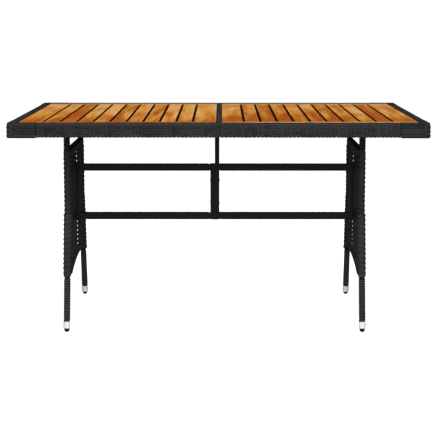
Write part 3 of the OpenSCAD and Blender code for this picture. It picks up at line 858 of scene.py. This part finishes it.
class EndPanel:
    """The weave of one end frame; inward is the way to the table's middle along X."""

    def __init__(self, x0, inward, seed):
        self.x0, self.inward = x0, inward
        self.weave = Weave(seed)

    def placed(self, plan, side, z):
        """Puts a plan path on the back or the front leg's side at a height."""
        return [(self.x0 + self.inward * depth, side * y, z) for y, depth in plan]

    def hoop(self, path):
        """Adds a row, painted paler where it turns round a leg than on the panel's faces, most of
        all below the step, as painted light and shade.
        """
        z = path[0][2]
        turned = np.abs([p[1] for p in path]) > leg_axis(z) - TURNED_WITHIN
        # Painted light and shade in the tone: lighter round the legs below the step, darkest on the
        # faces
        tone = np.where(turned, LOWER_LEG_PAINTED_LIGHT if z < STEP_Z else UPPER_LEG_PAINTED_SHADE, FACE_PAINTED_SHADE)
        self.weave.strand(path, outward_of(path), HOOP_W, HOOP_THICK, True, tone, ROUND_SECTION)

    def hoops(self):
        """Rows round the legs and along both faces of the panel, from the top down."""
        openings = [TOP_RAIL_Z - ROW_PITCH / 2 - k * 2 * ROW_PITCH for k in range(UPPER_OPENINGS)]
        openings += [post_low[2] - ROW_PITCH - k * 2 * ROW_PITCH for k in range(LOWER_OPENINGS)]
        for row in range(-ROWS_ABOVE, ROWS):
            z = FIRST_ROW - row * ROW_PITCH
            if z < PANEL_LOW + 3:
                continue
            inner = SLOT_HALF if any(abs(z - w) < 2.5 for w in openings) else 0.0
            # A row starts outside the arched rail where it meets it
            while arch_at(min(inner, ARCH_R)) + ARCH_ROOM > z and inner < leg_axis(z):
                inner += 4.0
            if z > TOP_RAIL_Z or inner > leg_axis(z) - ALONE_WITHIN:
                radius = RING_R + (row + 1) % 2 + step_out(z)
                circle = [(leg_axis(z) + radius * math.cos(a), radius * math.sin(a))
                          for a in np.linspace(0, 2 * math.pi, 20, endpoint=False)]
                for side in (-1, 1):
                    self.hoop(self.placed(circle, side, z))
            elif inner > 0.0:
                for side in (-1, 1):
                    self.hoop(self.placed(leg_loop(row, z, inner), side, z))
            else:
                loop = leg_loop(row, z, 0.0)
                self.hoop(self.placed(loop, 1, z) + self.placed(loop[::-1], -1, z))

    def stakes(self):
        """Stakes on both faces."""
        for stake, swell in STAKES:
            zs = np.linspace(arch_at(stake) + STAKE_ARCH_ROOM, stake_top(stake), STAKE_STEPS)
            for side in (-1, 1):
                for face in (-1, 1):
                    depth = PANEL_INSET + face * (STAKE_OFF + swell)
                    self.weave.strand([(self.x0 + self.inward * depth, side * stake, z)
                                       for z in zs], (self.inward * face, 0, 0),
                                      STAKE_W, STAKE_THICK)

    def strips(self):
        """A flat strip beside each leg, and a filler in the weave that closes its pinholes."""
        zs = np.linspace(ARCH_Z + 12, TOP_RAIL_Z - 0.5, STAKE_STEPS)
        for side in (-1, 1):
            for depth, beside, width in BESIDE_LEG:
                path = [(self.x0 + self.inward * depth, side * (leg_axis(z) - beside), z)
                        for z in zs]
                # Both get the painted shade tone of the panel's faces
                self.weave.strand(path, (self.inward, 0, 0), width, 1.0, tone=FACE_PAINTED_SHADE)

    def border(self):
        """A strand wound round the arched rail."""
        half_angle = math.asin(ARCH_Y / ARCH_R) * 0.985

        def place(a, b, s):
            angle = -half_angle + s / ARCH_R
            r = ARCH_R + b
            height = ARCH_Z + ARCH_RISE - ARCH_R + r * math.cos(angle)
            return (self.x0 + self.inward * PANEL_INSET + a, r * math.sin(angle), height)

        wind(self.weave, round_outline(BORDER_R - 1.2), place, 2 * half_angle * ARCH_R,
             WIND_PITCH, WIND_W, BORDER_THICK)


for panel_side, panel_x, panel_way, panel_seed in (("left", END_XS[0], 1, 31),
                                                   ("right", END_XS[1], -1, 32)):
    panel = EndPanel(panel_x, panel_way, panel_seed)
    panel.hoops()
    panel.stakes()
    panel.strips()
    panel.border()
    panel.weave.piece(f"weave_end_{panel_side}", "wicker", [f"end_weave_{panel_side}"], WICKER)

# ---- Finishes of the CAD parts ----

SLAT_BEVEL, RAIL_BEVEL, BATTEN_BEVEL, POST_BEVEL = 1.2, 0.8, 1.0, 1.2
# How pale each slat is, from the middle of the top outwards
LEFT_LIFTS = [0.50, 0.60, 0.50, 0.40, 0.52, 0.34, 0.54, 0.44, 0.34, 0.46, 0.56]
RIGHT_LIFTS = [0.46, 0.28, 0.24, 0.30, 0.38, 0.46, 0.32, 0.50, 0.44, 0.30, 0.50]


def finish(names, material, bevel=None):
    for name in names:
        node = NODES[name]
        node.data.materials.clear()
        node.data.materials.append(material)
        if bevel:
            edge = node.modifiers.new("edge", "BEVEL")
            edge.width = bevel * MM
            edge.segments = 3
            edge.limit_method = "ANGLE"
            edge.angle_limit = math.radians(40)
            edge.harden_normals = True


for part, lifts, first_seed in (("left", LEFT_LIFTS, 0.0), ("right", RIGHT_LIFTS, 31.0)):
    for i, lift in enumerate(lifts):
        finish([f"slat_{part}_{i + 1:02d}"],
               acacia(f"acacia_{part}_{i + 1:02d}", lift, i * 1.7 + first_seed), SLAT_BEVEL)
    for side, lift, seed in (("front", 0.55, 50.0), ("back", 0.5, 53.1)):
        finish([f"end_rail_{side}_{part}"],
               acacia(f"acacia_rail_{side}_{part}", lift, seed + len(part), True), RAIL_BEVEL)
# The battens are painted almost black, a painted shade under the slats
finish(["battens"], acacia("acacia_battens", 0.2, 71.0, True, painted_shade=0.97), BATTEN_BEVEL)
finish(["rim_tube_front", "rim_tube_back", "rim_tube_left", "rim_tube_right", "centre_bar",
        "leg_rails", "panel_ledges", "leg_front_left", "leg_back_left", "leg_front_right",
        "leg_back_right", "end_frame_left", "end_frame_right", "stretcher_upper_left",
        "stretcher_lower_left", "stretcher_upper_right", "stretcher_lower_right"], STEEL)
finish(["centre_post_left", "centre_post_right"], STEEL, POST_BEVEL)
finish(["batten_screws", "frame_bolts"], ZINC)
finish(["foot_sleeves"], BRIGHT)
finish(["glides"], RUBBER)

# ---- Floor, light and camera ----

FLOOR_HALF = 40.0
# The world's strength where it lights the object, and where the camera sees it
WORLD_LIGHT, WORLD_IN_VIEW = 0.07, 1.05
CAMERA_AT = (0.0086, -4.022, 1.127)
# How far the camera looks down and turns to its left, in degrees
CAMERA_DOWN, CAMERA_TURN = 6.81, 0.131
LENS, SENSOR, SHIFT = 91.0, 36.0, -0.18

floor_mesh = bpy.data.meshes.new("floor")
floor_mesh.from_pydata([(x * FLOOR_HALF, y * FLOOR_HALF, 0) for x, y in
                        ((-1, -1), (1, -1), (1, 1), (-1, 1))], [], [(0, 1, 2, 3)])
floor_mesh.materials.append(floor_material())
floor = bpy.data.objects.new("floor", floor_mesh)
bpy.context.scene.collection.objects.link(floor)

world = bpy.data.worlds.new("studio")
bpy.context.scene.world = world
world.use_nodes = True
background = world.node_tree.nodes["Background"]
background.inputs["Color"].default_value = (1.0, 1.0, 1.0, 1.0)
rays = world.node_tree.nodes.new("ShaderNodeLightPath")
strength = world.node_tree.nodes.new("ShaderNodeMapRange")
strength.inputs["To Min"].default_value = WORLD_LIGHT
strength.inputs["To Max"].default_value = WORLD_IN_VIEW
world.node_tree.links.new(rays.outputs["Is Camera Ray"], strength.inputs["Value"])
world.node_tree.links.new(strength.outputs["Result"], background.inputs["Strength"])


def soft_light(name, place, aim, size, power):
    data = bpy.data.lights.new(name, "AREA")
    data.shape = "RECTANGLE"
    data.size, data.size_y = size
    data.energy = power
    light = bpy.data.objects.new(name, data)
    light.location = place
    way = np.asarray(aim, float) - np.asarray(place, float)
    light.rotation_euler = (math.atan2(math.hypot(way[0], way[1]), -way[2]), 0.0,
                            math.atan2(way[1], way[0]) - math.pi / 2)
    bpy.context.scene.collection.objects.link(light)


soft_light("key", (-0.3, -0.6, 4.2), (0.0, 0.05, 0.6), (1.8, 1.0), 104.0)
soft_light("front", (0.0, -3.6, 2.2), (0.0, 0.0, 0.4), (0.8, 3.2), 138.0)

camera_data = bpy.data.cameras.new("camera")
camera_data.sensor_width = SENSOR
camera_data.lens = LENS
camera_data.shift_y = SHIFT
camera = bpy.data.objects.new("camera", camera_data)
camera.location = CAMERA_AT
camera.rotation_euler = (math.radians(90 - CAMERA_DOWN), 0.0, math.radians(CAMERA_TURN))
bpy.context.scene.collection.objects.link(camera)
bpy.context.scene.camera = camera
bpy.context.scene.view_settings.view_transform = "Standard"
bpy.context.scene.view_settings.look = "None"
